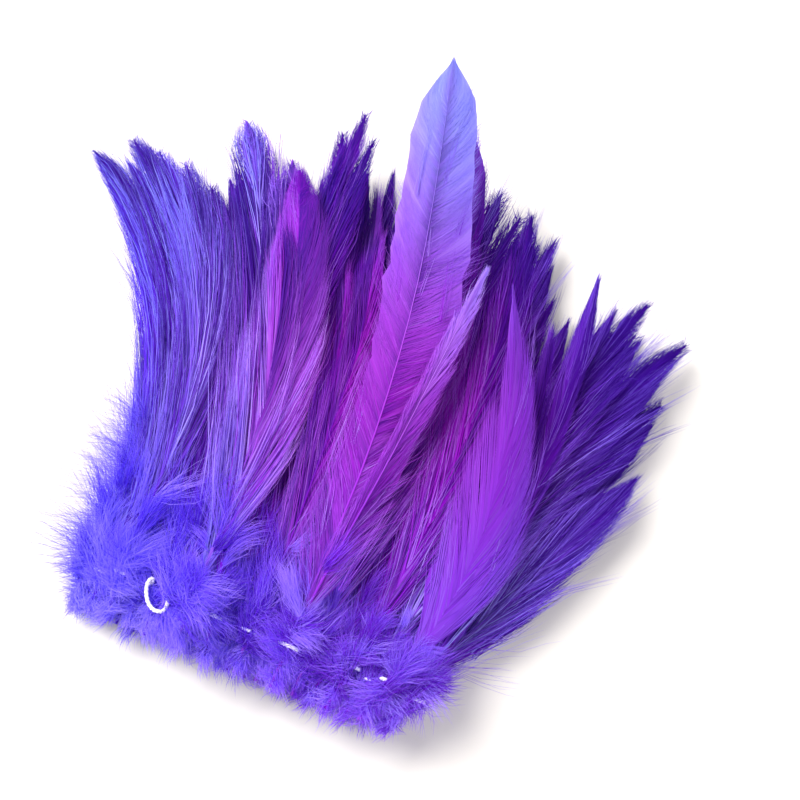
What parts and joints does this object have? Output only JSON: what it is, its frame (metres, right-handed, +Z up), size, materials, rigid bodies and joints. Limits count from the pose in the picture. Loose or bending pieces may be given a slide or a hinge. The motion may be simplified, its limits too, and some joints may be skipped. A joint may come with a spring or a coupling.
{
  "type": "strung hackle",
  "caption": "Strung hackle: dyed cock feathers sewn side by side through their quills on one thread, lying as an open fan with fluffy butts and pointed tips.",
  "frame": {"origin": "under the middle of the bunch's box, on the surface it lies on", "axes": "+Z up from the surface, +Y towards the tips of the feathers, +X to the right with the string at the near end"},
  "size_m": [0.169, 0.172, 0.0416],
  "materials": {
    "dyed_feather": "dyed violet feather, soft sheen along the barbs",
    "cotton_thread": "matte white cotton, faintly tinted by the dye"
  },
  "bodies": {
    "root": {"bottom_feather_01": "dyed_feather", "bottom_feather_02": "dyed_feather", "bottom_feather_03": "dyed_feather", "bottom_feather_04": "dyed_feather", "bottom_feather_05": "dyed_feather", "bottom_feather_06": "dyed_feather", "bottom_feather_07": "dyed_feather", "bottom_feather_08": "dyed_feather", "bottom_feather_09": "dyed_feather", "lower_feather_01": "dyed_feather", "lower_feather_03": "dyed_feather", "lower_feather_05": "dyed_feather", "lower_feather_07": "dyed_feather", "lower_feather_09": "dyed_feather", "lower_feather_02": "dyed_feather", "lower_feather_04": "dyed_feather", "lower_feather_06": "dyed_feather", "lower_feather_08": "dyed_feather", "middle_feather_01": "dyed_feather", "middle_feather_04": "dyed_feather", "middle_feather_07": "dyed_feather", "middle_feather_10": "dyed_feather", "middle_feather_13": "dyed_feather", "middle_feather_16": "dyed_feather", "middle_feather_02": "dyed_feather", "middle_feather_05": "dyed_feather", "middle_feather_08": "dyed_feather", "middle_feather_11": "dyed_feather", "middle_feather_14": "dyed_feather", "middle_feather_17": "dyed_feather", "middle_feather_03": "dyed_feather", "middle_feather_06": "dyed_feather", "middle_feather_09": "dyed_feather", "middle_feather_12": "dyed_feather", "middle_feather_15": "dyed_feather", "middle_feather_18": "dyed_feather", "top_feather_left_edge": "dyed_feather", "top_feather_left_second": "dyed_feather", "top_feather_left_inner": "dyed_feather", "top_feather_left_short": "dyed_feather", "top_feather_left_low": "dyed_feather", "top_feather_left_tall": "dyed_feather", "top_feather_lower_right": "dyed_feather", "top_feather_right_low_tip": "dyed_feather", "top_feather_right_far_tip": "dyed_feather", "top_feather_right_upper_tip": "dyed_feather", "top_feather_shoulder_low": "dyed_feather", "top_feather_shoulder_middle": "dyed_feather", "top_feather_shoulder_high": "dyed_feather", "top_feather_middle_short": "dyed_feather", "top_feather_middle_tall": "dyed_feather", "top_feather_magenta": "dyed_feather", "top_feather_middle_slim": "dyed_feather", "top_feather_centre_under": "dyed_feather", "top_feather_centre": "dyed_feather", "top_feather_right_slim": "dyed_feather", "top_feather_right_broad": "dyed_feather", "sewing_thread": "cotton_thread"}
  },
  "joints": []
}
